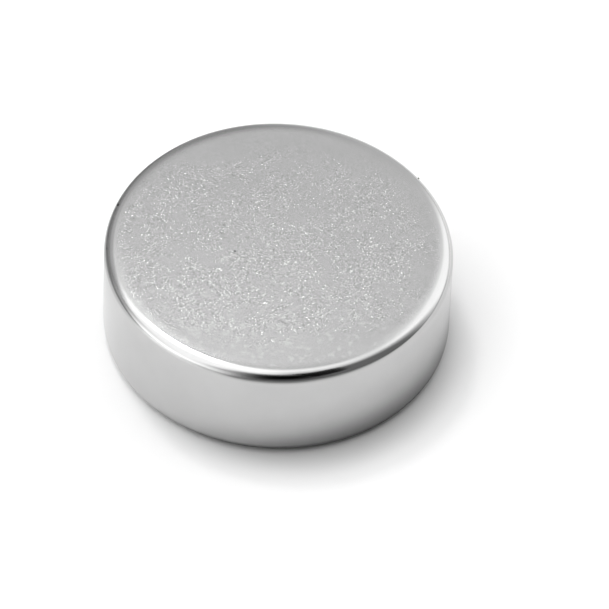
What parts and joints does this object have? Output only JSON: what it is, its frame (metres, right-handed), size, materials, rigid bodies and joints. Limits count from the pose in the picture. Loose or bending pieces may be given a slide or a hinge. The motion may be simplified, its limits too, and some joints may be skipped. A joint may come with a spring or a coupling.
{
  "type": "disc magnet",
  "caption": "Thick round permanent magnet: a plain nickel-plated disc with flat faces, a straight wall and rounded rims.",
  "frame": {"origin": "centre of the lower face, on the surface that the disc lies on", "axes": "+Z along the disc's axis, from the lower face to the upper one"},
  "size_m": [0.03, 0.03, 0.01],
  "materials": {
    "nickel_plate": "bright nickel plate over a tumbled disc: mirror-like wall and rims, finely grained satin faces"
  },
  "bodies": {
    "root": {"magnet_disc": "nickel_plate"}
  },
  "joints": []
}
